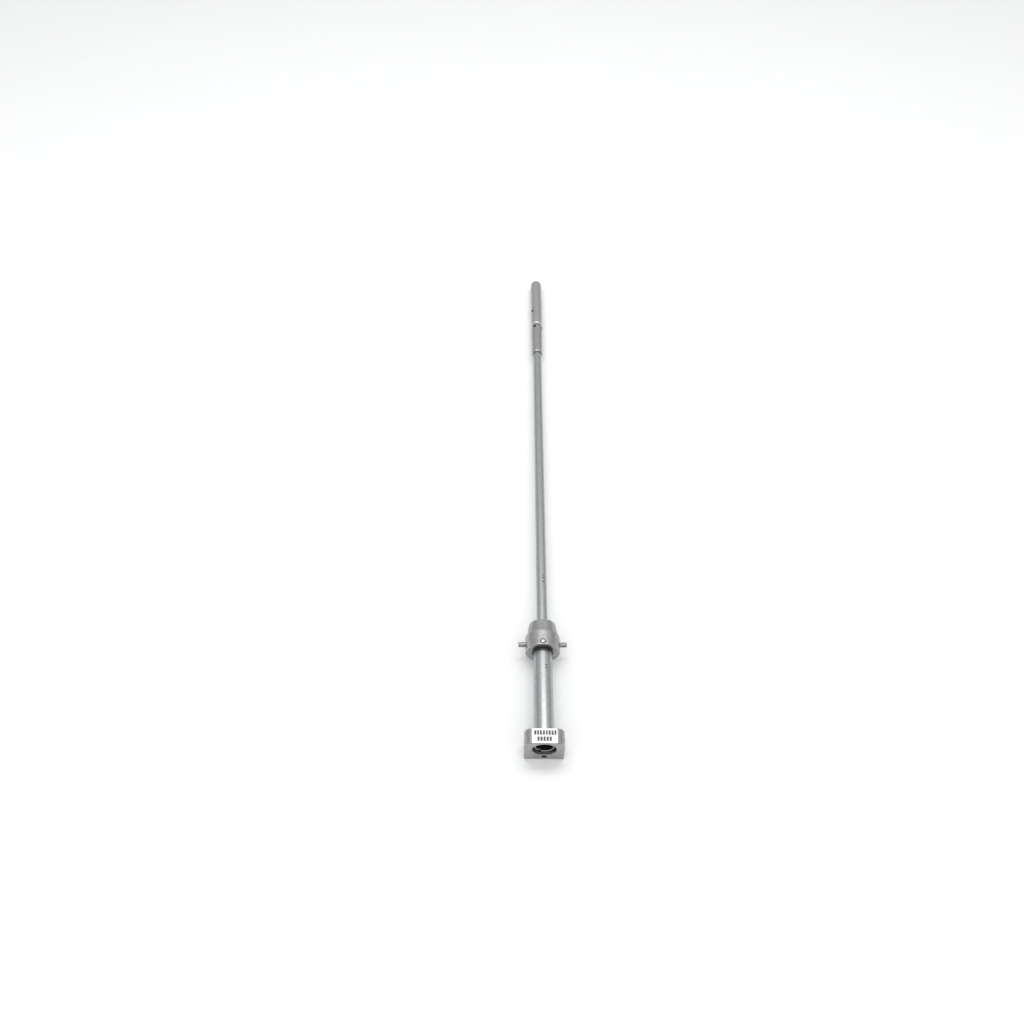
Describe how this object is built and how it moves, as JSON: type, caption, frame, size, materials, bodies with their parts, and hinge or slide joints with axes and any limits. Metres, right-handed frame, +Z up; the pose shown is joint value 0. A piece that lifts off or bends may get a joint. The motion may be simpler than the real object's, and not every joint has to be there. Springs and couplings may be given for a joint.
{
  "type": "tubular shaft assembly",
  "caption": "Slender hollow shaft: D-shaped end block on a quill tube, a turning cone hub with side pins and an index button, a long thin tube, and a sleeve with a swivelling round tip.",
  "frame": {"origin": "centre of the flat base of the D-shaped end block", "axes": "+Y along the shaft, from the end block to the tip; +Z up out of the base, towards the block's ground flat; +X to the right seen from the block's open end"},
  "size_m": [0.0196, 0.3035, 0.0154],
  "materials": {
    "blasted_steel": "fine matte blasted, light handling marks",
    "satin_steel": "satin drawn tube, fine pits and specks",
    "polished_steel": "polished",
    "machined_steel": "fine turned",
    "blackened_steel": "black oxide",
    "bearing_bronze": "turned, oiled",
    "bearing_polymer": "turned polymer",
    "seal_rubber": "matte elastomer",
    "spring_steel": "rolled spring strip"
  },
  "bodies": {
    "shaft": {"end_block": "blasted_steel", "block_grub_screw": "polished_steel", "tube_ferrule": "machined_steel", "quill_tube": "satin_steel", "channel_seal": "seal_rubber", "seal_clip": "spring_steel", "reducer_bush": "machined_steel", "thrust_collar": "bearing_bronze", "thin_tube": "satin_steel", "distal_sleeve": "satin_steel", "tip_dog_screw_1": "blackened_steel", "tip_dog_screw_2": "blackened_steel", "tip_dog_screw_3": "blackened_steel", "tip_dog_screw_4": "blackened_steel"},
    "hub": {"hub_body": "blasted_steel", "hub_bush": "bearing_polymer", "side_pin_left": "polished_steel", "side_pin_right": "polished_steel", "hub_o_ring": "seal_rubber", "hub_gland_ring": "polished_steel", "button_spring": "spring_steel"},
    "button": {"index_button": "polished_steel"},
    "tip": {"swivel_tip": "satin_steel", "tip_o_ring": "seal_rubber", "tip_thrust_washer": "seal_rubber"}
  },
  "joints": [
    {"name": "hub_turn", "type": "hinge", "parent": "shaft", "child": "hub", "pos_m": [0, 0.044, 0.0079], "axis": [0, 1, 0], "continuous": true},
    {"name": "button_press", "type": "slide", "parent": "hub", "child": "button", "axis": [0, 0, -1], "range_m": [0, 0.00045], "stiffness_N_per_m": 1500, "springref_m": -0.0006, "deforming": ["button_spring"]},
    {"name": "tip_swivel", "type": "hinge", "parent": "shaft", "child": "tip", "pos_m": [0, 0.2554, 0.0079], "axis": [0, 1, 0], "continuous": true}
  ]
}
